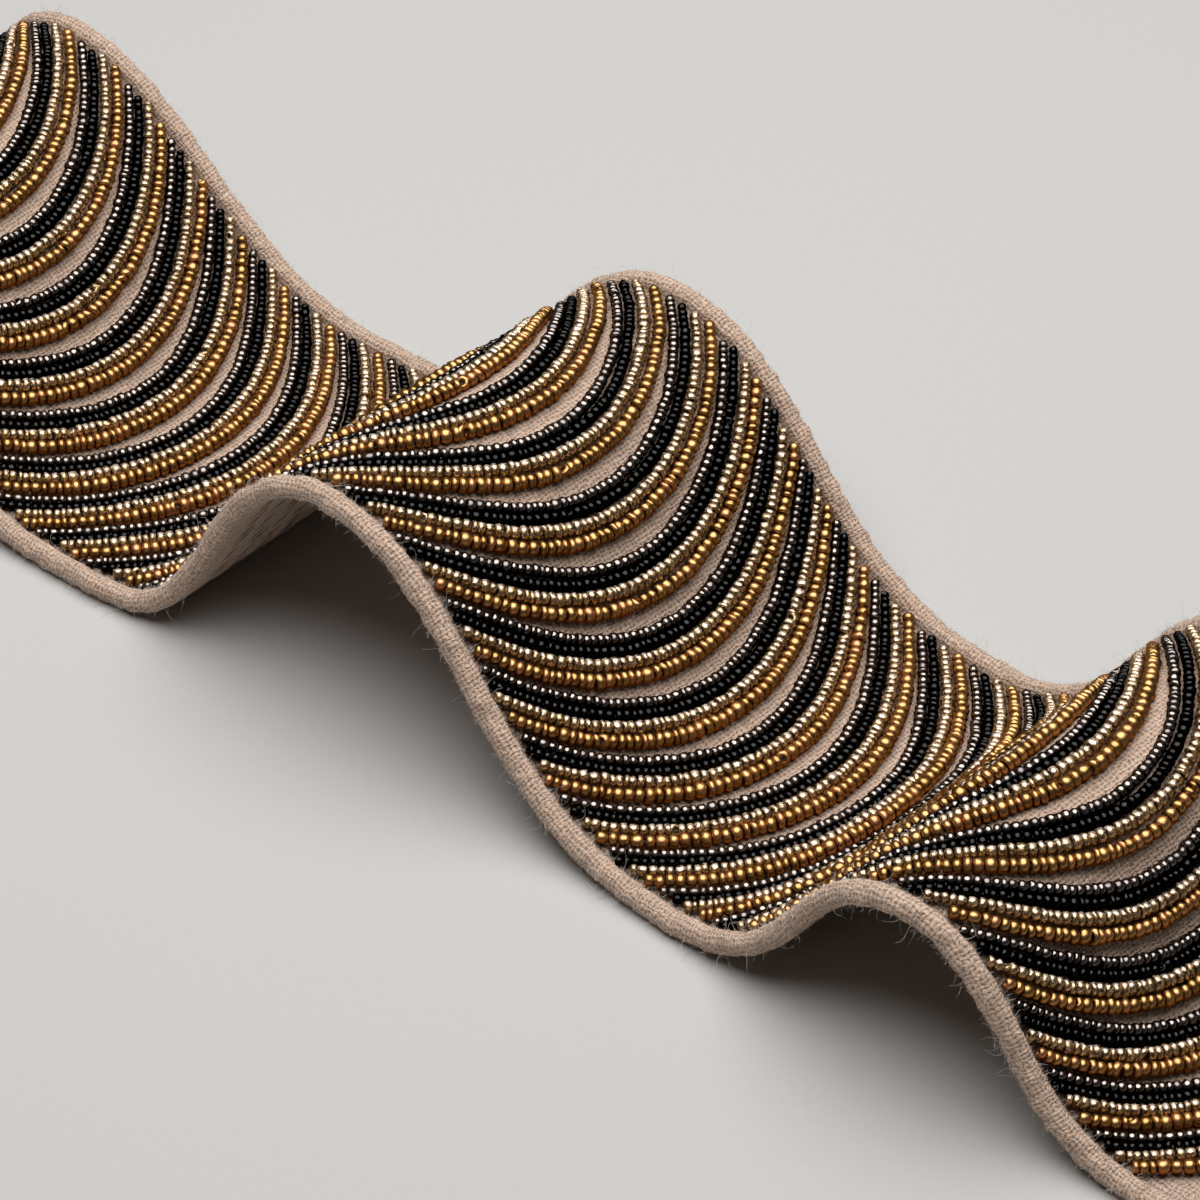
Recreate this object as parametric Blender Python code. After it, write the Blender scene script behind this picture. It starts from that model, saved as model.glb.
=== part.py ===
"""Beaded tape: a cut length of linen tape with rolled hems, sewn across with arcs of seed beads.

The tape lies on a surface in three standing waves. X runs along the tape, Y across it, Z is up,
all in metres, and the origin is on the surface under the middle of the tape.
"""

import math
from collections import namedtuple

import bmesh
import bpy
import numpy as np

# Cloth strip
CLOTH_THICKNESS = 0.0012
HEM_DIAMETER = 0.0029
TAPE_WIDTH = 0.0660
HEM_ANGLES_DEG = (-90, -45, 0, 45, 90, 135)
SECTION_STEP = 0.0034
FLAT_STEP = 0.0080

# Waves, one row for each, from left to right. Slopes are the steepest ones on the way up and down.
# A bias over 1 moves that steepest place towards the crest. The far edge of a crest is shifted
# along X by crest_lean and raised by crest_lift, and the far edge of the foot behind it is shifted
# along X by foot_lean. The near edge goes the other way.
Wave = namedtuple(
    "Wave",
    "height rise_deg rise_bias fall_deg fall_bias flat_behind sway_crest sway_foot"
    " crest_lean crest_lift foot_lean",
)
WAVES = (
    Wave(0.0247, 54.0, 1.00, 37.5, 1.20, 0.0120, -0.0002, -0.0021, -0.0033, 0.0009, -0.0006),
    Wave(0.0291, 61.0, 0.92, 43.5, 1.27, 0.0020, 0.0048, -0.0007, 0.0011, -0.0004, 0.0008),
    Wave(0.0249, 56.0, 1.30, 60.0, 1.15, 0.0220, -0.0001, 0.0001, 0.0019, 0.0018, 0.0),
)
FLAT_AHEAD = 0.0220
SWAY_AHEAD = -0.0009
SLOPE_SAMPLES = 64

# Bead bands: four touching strings in an arc that bulges towards +X
BAND_PITCH = 0.00942
BAND_SPAN = 0.0600
BAND_SAG = 0.0176
BAND_SECTIONS = 14
BAND_GAP = 0.0005
FIRST_BAND_START = 0.0063
BAND_COUNT = 37
BEAD_LIMIT = 0.0297

# Strings of a band, from its hollow side to its bulging side. Step is the distance from the string
# before it in the middle of the arc. It shrinks by CROWDING towards the hems, where the arcs lie closer.
Strand = namedtuple("Strand", "name diameter step colour metallic roughness")
STRANDS = (
    Strand("grey", 0.00155, 0.0, (0.16, 0.17, 0.18), 0.9, 0.22),
    Strand("black", 0.00155, 0.00160, (0.006, 0.006, 0.007), 0.0, 0.12),
    Strand("champagne", 0.00185, 0.00172, (0.62, 0.52, 0.42), 0.7, 0.25),
    Strand("gold", 0.00200, 0.00202, (0.42, 0.25, 0.11), 0.9, 0.35),
)
TRACED_STRAND = 1
CROWDING = 0.19
VALLEY_SHARE = 0.58
FOOT_SHARE = 0.68


def clear_scene():
    """Take every object out of the open scene."""
    for thing in list(bpy.data.objects):
        bpy.data.objects.remove(thing, do_unlink=True)


def make_material(name, colour, metallic, roughness):
    """Return a plain Principled material."""
    material = bpy.data.materials.new(name)
    material.use_nodes = True
    shader = material.node_tree.nodes["Principled BSDF"]
    shader.inputs["Base Color"].default_value = (*colour, 1.0)
    shader.inputs["Metallic"].default_value = metallic
    shader.inputs["Roughness"].default_value = roughness
    return material


def flank(height, steepest_deg, bias):
    """Slopes and step length of one flank, from the foot of a wave up to its crest."""
    share = (np.arange(SLOPE_SAMPLES) + 0.5) / SLOPE_SAMPLES
    slopes = math.radians(steepest_deg) * np.sin(math.pi * share**bias)
    length = height / float(np.mean(np.sin(slopes)))
    return slopes, length


class Course:
    """The way that the middle of the cloth's thickness takes, read by its length along the cloth."""

    def __init__(self):
        slopes = []
        steps = []
        self.crests = []
        self.sway_knots = [(0.0, SWAY_AHEAD)]
        self.flats = [(0.0, FLAT_AHEAD)]
        self._run(slopes, steps, np.zeros(SLOPE_SAMPLES), FLAT_AHEAD)
        for wave in WAVES:
            rise, rise_length = flank(wave.height, wave.rise_deg, wave.rise_bias)
            fall, fall_length = flank(wave.height, wave.fall_deg, wave.fall_bias)
            self._run(slopes, steps, rise, rise_length)
            crest = sum(steps)
            self._run(slopes, steps, -fall[::-1], fall_length)
            foot = sum(steps)
            self._run(slopes, steps, np.zeros(SLOPE_SAMPLES), wave.flat_behind)
            self.crests.append(crest)
            self.flats.append((foot, foot + wave.flat_behind))
            self.sway_knots.append((crest, wave.sway_crest))
            self.sway_knots.append((foot + 0.5 * wave.flat_behind, wave.sway_foot))
        steps = np.array(steps)
        slopes = np.array(slopes)
        self.length = float(steps.sum())
        self.along = np.concatenate([[0.0], np.cumsum(steps)])
        self.x = np.concatenate([[0.0], np.cumsum(steps * np.cos(slopes))])
        self.z = np.concatenate([[0.0], np.cumsum(steps * np.sin(slopes))])
        self.slope_at = self.along[:-1] + 0.5 * steps
        self.slopes = slopes
        self.middle_x = 0.5 * float(self.x[-1])
        self.borders = [0.5 * (start + end) for start, end in self.flats[1:-1]]
        self.middle_y = 0.0
        shifts = [self.sway(along) for along in self.along]
        self.middle_y = 0.5 * (min(shifts) + max(shifts))

    @staticmethod
    def _run(slopes, steps, new_slopes, length):
        slopes.extend(float(value) for value in new_slopes)
        steps.extend([length / len(new_slopes)] * len(new_slopes))

    def sway(self, along):
        """Sideways shift of the whole tape, on a smooth curve through the knots."""
        places = [place for place, shift in self.sway_knots]
        shifts = [shift for place, shift in self.sway_knots]
        last = len(places) - 1
        i = min(max(sum(along > place for place in places) - 1, 0), last - 1)
        span = places[i + 1] - places[i]
        share = min(max((along - places[i]) / span, 0.0), 1.0)
        trend = [0.0] * (last + 1)
        for j in range(1, last):
            trend[j] = (shifts[j + 1] - shifts[j - 1]) / (places[j + 1] - places[j - 1])
        near, far = shifts[i], shifts[i + 1]
        ease = share * share * (3.0 - 2.0 * share)
        leave = share * (1.0 - share) ** 2
        arrive = share * share * (1.0 - share)
        curve = near + (far - near) * ease + span * (trend[i] * leave - trend[i + 1] * arrive)
        return curve - self.middle_y

    def place(self, along, across, above):
        """World place of a point: along and across the flat cloth, above its middle layer."""
        number = sum(along > border for border in self.borders)
        wave = WAVES[number]
        foot = number if along > self.crests[number] else number - 1
        foot_lean = WAVES[foot].foot_lean if foot >= 0 else 0.0
        slope = float(np.interp(along, self.slope_at, self.slopes))
        x = float(np.interp(along, self.along, self.x)) - self.middle_x
        z = float(np.interp(along, self.along, self.z))
        side = across / (0.5 * BAND_SPAN)
        share = z / wave.height
        x += side * (wave.crest_lean * share + foot_lean * (1.0 - share))
        z += side * wave.crest_lift * share
        return (
            x - above * math.sin(slope),
            across + self.sway(along),
            z + 0.5 * CLOTH_THICKNESS + above * math.cos(slope),
        )

    def stations(self):
        """Places along the cloth where the strip has a section: close on bends, wide on flats."""
        marks = [0.0]
        flat_ends = sorted({end for flat in self.flats for end in flat} | {self.length})
        for end in flat_ends:
            start = marks[-1]
            if end - start < 1e-6:
                continue
            flat = any(abs(a - start) < 1e-6 and abs(b - end) < 1e-6 for a, b in self.flats)
            count = max(1, round((end - start) / (FLAT_STEP if flat else SECTION_STEP)))
            marks.extend(start + (end - start) * (i + 1) / count for i in range(count))
        return marks


def strip_section():
    """Outline of the strip across its width: (across, above) pairs, round a rolled hem each side."""
    half_cloth = 0.5 * CLOTH_THICKNESS
    radius = 0.5 * HEM_DIAMETER
    hem_across = 0.5 * TAPE_WIDTH - radius
    hem_above = radius - half_cloth
    right = []
    for degrees in HEM_ANGLES_DEG:
        angle = math.radians(degrees)
        right.append((hem_across + radius * math.cos(angle), hem_above + radius * math.sin(angle)))
    drop = math.sqrt(radius**2 - (half_cloth - hem_above) ** 2)
    right.append((hem_across - drop, half_cloth))
    left = [(-across, above) for across, above in reversed(right)]
    return right + left


def loft(name, rings, materials, slot_of_side):
    """One closed body from rings of points, capped at both ends."""
    mesh = bpy.data.meshes.new(name)
    body = bmesh.new()
    rows = [[body.verts.new(point) for point in ring] for ring in rings]
    for ring_a, ring_b in zip(rows[:-1], rows[1:]):
        for i in range(len(ring_a)):
            j = (i + 1) % len(ring_a)
            face = body.faces.new((ring_a[i], ring_a[j], ring_b[j], ring_b[i]))
            face.material_index = slot_of_side(i)
    body.faces.new(list(reversed(rows[0])))
    body.faces.new(rows[-1])
    bmesh.ops.recalc_face_normals(body, faces=body.faces[:])
    bmesh.ops.triangulate(body, faces=body.faces[:])
    body.to_mesh(mesh)
    body.free()
    thing = bpy.data.objects.new(name, mesh)
    for material in materials:
        mesh.materials.append(material)
    bpy.context.scene.collection.objects.link(thing)
    return thing


def make_tape(course, linen):
    """The cloth strip with its two rolled hems."""
    outline = strip_section()
    rings = []
    for along in course.stations():
        rings.append([course.place(along, across, above) for across, above in outline])
    return loft("tape", rings, [linen], lambda side: 0)


def strand_offsets():
    """Distance of each string's middle from the traced string, square to the arc."""
    middles = list(np.cumsum([strand.step for strand in STRANDS]))
    return [middle - middles[TRACED_STRAND] for middle in middles]


def band_section():
    """Ridged outline of four strings: (offset, above, slot) rows from the hollow side on.

    The last rows are on the underside below the valleys, so that the band bends with the cloth."""
    offsets = strand_offsets()
    first = STRANDS[0].diameter
    last = STRANDS[-1].diameter
    rows = [(offsets[0] - 0.5 * FOOT_SHARE * first, 0.0, 0)]
    for i, strand in enumerate(STRANDS):
        rows.append((offsets[i], strand.diameter, i))
        if i + 1 < len(STRANDS):
            valley = 0.5 * (offsets[i] + offsets[i + 1])
            rows.append((valley, VALLEY_SHARE * strand.diameter, i + 1))
    rows.append((offsets[-1] + 0.5 * FOOT_SHARE * last, 0.0, len(STRANDS) - 1))
    for i in range(len(STRANDS) - 1, 0, -1):
        rows.append((0.5 * (offsets[i - 1] + offsets[i]), 0.0, i))
    return rows


def arc_line(offset, samples=241):
    """A line at one distance from the traced arc, in flat cloth: (across, along) arrays."""
    share = np.linspace(-1.15, 1.15, samples)
    half = 0.5 * BAND_SPAN
    steepness = -2.0 * BAND_SAG * share / half
    turn = np.arctan(steepness)
    offset = offset * (1.0 - CROWDING * share**4)
    across = half * share - offset * np.sin(turn)
    along = BAND_SAG * (1.0 - share**2) + offset * np.cos(turn)
    return across, along


def make_band(course, number, materials):
    """One group of four touching strings of beads, as one ridged body on the cloth."""
    start = FIRST_BAND_START + (number - 1) * BAND_PITCH
    base = 0.5 * CLOTH_THICKNESS + BAND_GAP
    section = band_section()
    lines = [arc_line(offset) for offset, above, slot in section]
    rings = []
    for across in np.linspace(-BEAD_LIMIT, BEAD_LIMIT, BAND_SECTIONS):
        ring = []
        for (offset, above, slot), (line_across, line_along) in zip(section, lines):
            along = start + float(np.interp(across, line_across, line_along))
            ring.append(course.place(along, float(across), base + above))
        rings.append(ring)
    slots = [slot for offset, above, slot in section]
    return loft(f"bead_band_{number:02d}", rings, materials, lambda side: slots[side])


def main():
    clear_scene()
    course = Course()
    linen = make_material("linen", (0.42, 0.34, 0.26), 0.0, 0.9)
    bead_materials = [
        make_material(f"{strand.name} beads", strand.colour, strand.metallic, strand.roughness)
        for strand in STRANDS
    ]
    make_tape(course, linen)
    for number in range(1, BAND_COUNT + 1):
        make_band(course, number, bead_materials)


main()
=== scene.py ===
"""Beaded tape, dressed for its looks: woven linen with rolled hems, strung seed beads, thread and fuzz.

Every length here is in metres and every place is in the frame's own axes: X along the tape, Y across
it, Z up from the surface that it lies on.
"""

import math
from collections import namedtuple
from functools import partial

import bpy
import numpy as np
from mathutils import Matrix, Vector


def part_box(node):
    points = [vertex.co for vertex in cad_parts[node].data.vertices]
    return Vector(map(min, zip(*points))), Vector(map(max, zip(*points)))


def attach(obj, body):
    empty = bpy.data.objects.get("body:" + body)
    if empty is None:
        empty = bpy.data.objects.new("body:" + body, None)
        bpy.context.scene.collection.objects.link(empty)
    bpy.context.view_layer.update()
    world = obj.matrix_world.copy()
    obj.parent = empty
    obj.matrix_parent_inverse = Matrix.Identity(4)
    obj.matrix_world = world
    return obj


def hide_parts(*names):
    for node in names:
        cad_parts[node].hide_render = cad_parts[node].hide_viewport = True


bl_info = {
    "name": "Beaded Tape",
    "version": (1, 0, 0),
    "blender": (4, 5, 0),
    "location": "3D View > Sidebar > Beaded Tape",
    "description": "Linen tape with rolled hems and arcs of sewn seed beads, lying in waves",
    "category": "Object",
}

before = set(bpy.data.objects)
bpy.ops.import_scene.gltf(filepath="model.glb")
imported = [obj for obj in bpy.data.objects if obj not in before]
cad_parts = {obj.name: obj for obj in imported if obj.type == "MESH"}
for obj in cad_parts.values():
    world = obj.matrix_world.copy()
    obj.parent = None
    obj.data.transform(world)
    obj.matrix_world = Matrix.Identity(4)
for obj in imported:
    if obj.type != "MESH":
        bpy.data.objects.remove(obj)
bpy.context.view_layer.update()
TAPE_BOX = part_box("tape")
BAND_NODES = sorted(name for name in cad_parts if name.startswith("bead_band_"))
MM = 0.001
TURN = 2.0 * math.pi

# Cloth, as the frame has it, with each hem's middle line from the tape's own middle
CLOTH_THICKNESS = 0.0012
HEM_DIAMETER = 0.0029
TAPE_WIDTH = 0.0660
HALF_CLOTH = 0.5 * CLOTH_THICKNESS
HEM_RADIUS = 0.5 * HEM_DIAMETER
HEM_ACROSS = 0.5 * TAPE_WIDTH - HEM_RADIUS
HEM_ABOVE = HEM_RADIUS - HALF_CLOTH

# Waves, one row for each, from left to right. Slopes are the steepest ones on the way up and down.
# A bias over 1 moves that steepest place towards the crest. The far edge of a crest is shifted
# along X by crest_lean and raised by crest_lift, and the far edge of the foot behind it is shifted
# along X by foot_lean. The near edge goes the other way.
Wave = namedtuple(
    "Wave",
    "height rise_deg rise_bias fall_deg fall_bias flat_behind sway_crest sway_foot"
    " crest_lean crest_lift foot_lean",
)
WAVES = (
    Wave(0.0247, 54.0, 1.00, 37.5, 1.20, 0.0120, -0.0002, -0.0021, -0.0033, 0.0009, -0.0006),
    Wave(0.0291, 61.0, 0.92, 43.5, 1.27, 0.0020, 0.0048, -0.0007, 0.0011, -0.0004, 0.0008),
    Wave(0.0249, 56.0, 1.30, 60.0, 1.15, 0.0220, -0.0001, 0.0001, 0.0019, 0.0018, 0.0),
)
FLAT_AHEAD = 0.0220
SWAY_AHEAD = -0.0009
SLOPE_SAMPLES = 64

# Bead bands: four touching strings in an arc that bulges towards +X
BAND_PITCH = 0.00942
BAND_SPAN = 0.0600
BAND_SAG = 0.0176
FIRST_BAND_START = 0.0063
TRACED_STRAND = 1

# A string ends near BEAD_LIMIT from the middle line, at most END_OUT past it or END_IN short of it.
# Its curve is drawn longer, to STRING_REACH, and strays in waves.
BEAD_LIMIT = 0.0297
END_OUT = 0.0003
END_IN = 0.0004
STRING_REACH = 1.13
STRING_SAMPLES = 500
STRAY_WAVES = (1.3, 2.4, 4.1, 7.3)

# Strings of a band, from its hollow side to its bulging side. Step is the distance from the string
# before it in the middle of the arc. Towards the hems, where the arcs lie closer, it shrinks by CROWDING
# and the beads are picked smaller by END_TAPER. Length is the bead's, along its hole.
Strand = namedtuple("Strand", "name diameter step length size_spread length_spread tilt_deg lift")
STRANDS = (
    Strand("grey", 0.00166, 0.0, 0.00106, 0.055, 0.16, 7.0, 0.00002),
    Strand("black", 0.00167, 0.00160, 0.00106, 0.055, 0.16, 7.0, 0.00000),
    Strand("champagne", 0.00192, 0.00172, 0.00104, 0.050, 0.20, 8.0, 0.00004),
    Strand("gold", 0.00209, 0.00202, 0.00121, 0.045, 0.18, 7.0, 0.00002),
)
CROWDING = 0.19
END_TAPER = 0.30

# A bead's outline from one end of its hole to the other: share of its length, share of its radius
SMALL_BEAD_OUTLINE = ((-0.50, 0.50), (-0.38, 0.89), (0.0, 1.0), (0.38, 0.89), (0.50, 0.50))
LARGE_BEAD_OUTLINE = (
    (-0.50, 0.42), (-0.42, 0.80), (-0.17, 0.985), (0.17, 0.985), (0.42, 0.80), (0.50, 0.42),
)
BEAD_SIDES = 7
SIDE_ROUNDING = 1.04
BEAD_FIT = 0.985
OVAL_SPREAD = 0.03
JITTER = (0.035, 0.022)

# Share of the beads that stand askew, and by how much, in radians
TURNED_SHARE = 0.018
TURNED_TILT = (0.6, 1.3)
PAINT_ROOM = 60.0

# Points of the strip's outline: round each hem, and on each face of the cloth between the hems
HEM_POINTS = 17
WEB_POINTS = 5

# Knobbly swelling of the hems: a base, and slanted waves of (length along the hem, height in mm)
SWELL_BASE = 0.00006
SWELLS = (
    (0.0012, 0.022), (0.0017, 0.026), (0.0026, 0.030), (0.0041, 0.034), (0.0075, 0.040), (0.0160, 0.045),
)
SWELL_LAYERS = 3
SLANT_LENGTH = 0.0022
SWELL_FADE = 0.0004

# Thread: a core in the beads' holes, loops over the strings, and stitches' backs below the cloth.
# A loop's points are (sideways, height), by LOOP_SPREAD and by the bead.
CORE_RADIUS = 0.00016
CORE_POINTS = 23
CORE_DIP = 0.0001
LOOP_RADIUS = 0.00006
LOOPS_PER_STRING = 8
LOOP_MARGIN = 20
LOOP_SPREAD = 0.40
LOOP_SHAPE = ((-1.0, 0.05), (-0.55, 0.66), (0.55, 0.66), (1.0, 0.05))
BACK_RADIUS = 0.00009
BACKS_PER_STRING = 14
BACK_REACH = 0.30
BACK_STRAY = 0.00012
BACK_SHAPE = (0.00004, -0.00008, 0.00004)

# Loose fibres of the hems. Curl is the width of a fibre's coil by its length. They grow from
# ROOT_DEPTH of the hem's radius, on its sides between two angles from level, in degrees.
Fuzz = namedtuple("Fuzz", "count shortest longest points curl radius")
FUZZ = (
    Fuzz("long_fibres", 0.0010, 0.0032, 7, 0.24, 0.000026),
    Fuzz("middle_fibres", 0.0005, 0.0014, 4, 0.20, 0.000032),
    Fuzz("short_fibres", 0.0003, 0.0008, 2, 0.10, 0.000034),
)
ROOT_DEPTH = 0.97
HAIRY_SIDES = (-75.0, 140.0)

# Frayed yarns of the cut ends
CUT_YARN_RADIUS = 0.00007
CUT_YARN_LENGTH = 0.0003
CUT_YARN_SPREAD = 0.0011

# Least height of thread, fibre and yarn above the surface
THREAD_LIFT = 0.00001
FIBRE_LIFT = 0.00004
YARN_LIFT = 0.00008

STRIP_SEED = 11
BEAD_SEED = 23
FIBRE_SEED = 7

FLOOR_HALF = 2.0
FLOOR_DEPTH = 0.00002
CAMERA_AIM = (0.01723, 0.00813, 0.0)
LAMP_PLACE = (-0.02, 0.06, 0.62)


LengthProperty = partial(bpy.props.FloatProperty, min=0.0, precision=5, unit="LENGTH")
AngleProperty = partial(bpy.props.FloatProperty, subtype="ANGLE")
CountProperty = partial(bpy.props.IntProperty, min=0)
ColourProperty = partial(bpy.props.FloatVectorProperty, size=3, min=0.0, max=1.0, subtype="COLOR")


class ClothSettings(bpy.types.PropertyGroup):
    """Sizes and colours of the linen."""

    section_step: LengthProperty(
        name="Section Step", description="Distance between the cloth's sections", default=0.00050,
    )
    weft_pitch: LengthProperty(name="Weft Pitch", description="Yarn to yarn along the tape", default=0.00058)
    warp_pitch: LengthProperty(name="Warp Pitch", description="Yarn to yarn across it", default=0.00069)
    linen: ColourProperty(
        name="Linen", description="Colour of the raised yarns", default=(0.640, 0.455, 0.340),
    )
    # Colour painted in the pits between the yarns, as their shade
    gap: ColourProperty(
        name="Weave Pit Shade", description="Colour between the yarns", default=(0.22, 0.150, 0.105),
    )
    long_fibres: CountProperty(name="Long Fibres", description="Curly ones, each hem", default=700)
    middle_fibres: CountProperty(name="Middle Fibres", description="Looser ones, each hem", default=1400)
    short_fibres: CountProperty(name="Short Fibres", description="Short fuzz, each hem", default=6500)
    cut_yarns: CountProperty(name="Cut Yarns", description="Frayed ends, each cut end", default=330)


class BeadSettings(bpy.types.PropertyGroup):
    """Colours of the beads and how uneven the strings lie."""

    wander: LengthProperty(name="Wander", description="Stray of a string from its arc", default=0.00005)
    grey: ColourProperty(name="Grey", description="Dark metallic beads", default=(0.30, 0.262, 0.236))
    black: ColourProperty(name="Black", description="Glossy black beads", default=(0.026, 0.0255, 0.025))
    # The silver colour is painted as the champagne beads' glint and their brightest sparks
    silver: ColourProperty(
        name="Silver Lining", description="Glint of the champagne beads", default=(0.85, 0.705, 0.572),
    )
    amber: ColourProperty(
        name="Amber Side", description="Clear side of the champagne beads", default=(0.36, 0.26, 0.125),
    )
    gold: ColourProperty(name="Gold", description="Larger gold-bronze beads", default=(0.53, 0.316, 0.130))
    thread: ColourProperty(name="Thread", description="Sewing thread", default=(0.15, 0.125, 0.095))


class StageSettings(bpy.types.PropertyGroup):
    """Floor, light and camera."""

    floor: ColourProperty(name="Floor", description="Pale floor", default=(0.47, 0.46, 0.445))
    lamp_size: LengthProperty(name="Lamp Size", description="Width of the round softbox", default=0.92)
    lamp_power: bpy.props.FloatProperty(
        name="Lamp Power", description="Power of the softbox", default=8.1, min=0.0, unit="POWER",
    )
    room_light: bpy.props.FloatProperty(
        name="Room Light", description="Strength of the light from all sides", default=0.05, min=0.0,
    )
    azimuth: AngleProperty(
        name="Azimuth", description="Turn of the camera round the tape", default=math.radians(42.294),
    )
    elevation: AngleProperty(
        name="Elevation", description="Camera angle above the horizon", default=math.radians(38.716),
    )
    roll: AngleProperty(
        name="Roll", description="Camera turn about its own view", default=math.radians(-0.416),
    )
    distance: LengthProperty(name="Distance", description="From the camera to its aim", default=0.6588)
    lens: bpy.props.FloatProperty(
        name="Lens", description="Focal length in millimetres", default=150.39, min=1.0,
    )


def running_sum(steps):
    """Sums of the steps so far, from 0."""
    return np.concatenate([[0.0], np.cumsum(steps)])


def line_lengths(points):
    """Distance along a line of points to each of them."""
    return running_sum(np.linalg.norm(np.diff(points, axis=0), axis=-1))


def unit(vectors):
    """The same directions at length one."""
    return vectors / np.maximum(np.linalg.norm(vectors, axis=-1, keepdims=True), 1e-12)


def lifted(places, low):
    """The places, with those below a height raised to it."""
    places[..., 2] = np.maximum(places[..., 2], low)
    return places


class Course:
    """The way that the middle of the cloth's thickness takes, read by its length along the cloth."""

    def __init__(self):
        slopes = [np.zeros(SLOPE_SAMPLES)]
        lengths = [FLAT_AHEAD]
        self.crests = []
        knots = [(0.0, SWAY_AHEAD)]
        for wave in WAVES:
            rise, rise_length = self._flank(wave.height, wave.rise_deg, wave.rise_bias)
            fall, fall_length = self._flank(wave.height, wave.fall_deg, wave.fall_bias)
            slopes += [rise, -fall[::-1], np.zeros(SLOPE_SAMPLES)]
            lengths += [rise_length, fall_length, wave.flat_behind]
            crest = sum(lengths[:-2])
            self.crests.append(crest)
            knots.append((crest, wave.sway_crest))
            knots.append((sum(lengths) - 0.5 * wave.flat_behind, wave.sway_foot))
        steps = np.repeat(np.array(lengths) / SLOPE_SAMPLES, SLOPE_SAMPLES)
        self.slopes = np.concatenate(slopes)
        self.length = float(steps.sum())
        self.along = running_sum(steps)
        self.x = running_sum(steps * np.cos(self.slopes))
        self.z = running_sum(steps * np.sin(self.slopes))
        self.slope_at = self.along[:-1] + 0.5 * steps
        self.middle_x = 0.5 * float(self.x[-1])
        self.borders = [place for place, value in knots[2:-1:2]]
        self.sways = self._eased(knots, self.along)
        self.sways -= 0.5 * (self.sways.min() + self.sways.max())

    @staticmethod
    def _flank(height, steepest_deg, bias):
        """Slopes and length of one flank, from the foot of a wave up to its crest."""
        share = (np.arange(SLOPE_SAMPLES) + 0.5) / SLOPE_SAMPLES
        slopes = math.radians(steepest_deg) * np.sin(math.pi * share**bias)
        return slopes, height / float(np.mean(np.sin(slopes)))

    @staticmethod
    def _eased(knots, along):
        """A smooth curve through (place, value) knots, level at both ends."""
        places = np.array([place for place, value in knots])
        values = np.array([value for place, value in knots])
        trend = np.zeros(len(knots))
        trend[1:-1] = (values[2:] - values[:-2]) / (places[2:] - places[:-2])
        i = np.clip(np.searchsorted(places, along) - 1, 0, len(knots) - 2)
        span = places[i + 1] - places[i]
        share = np.clip((along - places[i]) / span, 0.0, 1.0)
        ease = share * share * (3.0 - 2.0 * share)
        leave = share * (1.0 - share) ** 2
        arrive = share * share * (1.0 - share)
        rise = (values[i + 1] - values[i]) * ease
        return values[i] + rise + span * (trend[i] * leave - trend[i + 1] * arrive)

    def slope(self, along):
        """Slope of the cloth at places along it."""
        return np.interp(along, self.slope_at, self.slopes)

    def place(self, along, across, above):
        """World places: along and across the flat cloth, above its middle layer."""
        along, across, above = np.broadcast_arrays(along, across, above)
        number = sum((along > border).astype(int) for border in self.borders)
        past = along > np.array(self.crests)[number]
        foot = np.where(past, number, number - 1)
        column = {key: np.array([getattr(wave, key) for wave in WAVES]) for key in Wave._fields}
        foot_lean = np.where(foot >= 0, column["foot_lean"][np.maximum(foot, 0)], 0.0)
        slope = self.slope(along)
        x = np.interp(along, self.along, self.x) - self.middle_x
        z = np.interp(along, self.along, self.z)
        side = across / (0.5 * BAND_SPAN)
        share = z / column["height"][number]
        x = x + side * (column["crest_lean"][number] * share + foot_lean * (1.0 - share))
        z = z + side * column["crest_lift"][number] * share
        return np.stack([
            x - above * np.sin(slope),
            across + np.interp(along, self.along, self.sways),
            z + HALF_CLOTH + above * np.cos(slope),
        ], axis=-1)

    def normal(self, along):
        """Direction out of the cloth's bead side."""
        slope = self.slope(along)
        return np.stack([-np.sin(slope), np.zeros_like(slope), np.cos(slope)], axis=-1)


COURSE = Course()


class Wire:
    """A socket of a material, which takes part in arithmetic like a number."""

    def __init__(self, paint, socket):
        self.paint = paint
        self.socket = socket

    def _sum(self, operation, first, second):
        return self.paint.node("ShaderNodeMath", {"operation": operation}, {0: first, 1: second})

    def __add__(self, other):
        return self._sum("ADD", self, other)

    def __radd__(self, other):
        return self._sum("ADD", other, self)

    def __sub__(self, other):
        return self._sum("SUBTRACT", self, other)

    def __rsub__(self, other):
        return self._sum("SUBTRACT", other, self)

    def __mul__(self, other):
        return self._sum("MULTIPLY", self, other)

    def __rmul__(self, other):
        return self._sum("MULTIPLY", other, self)


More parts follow.
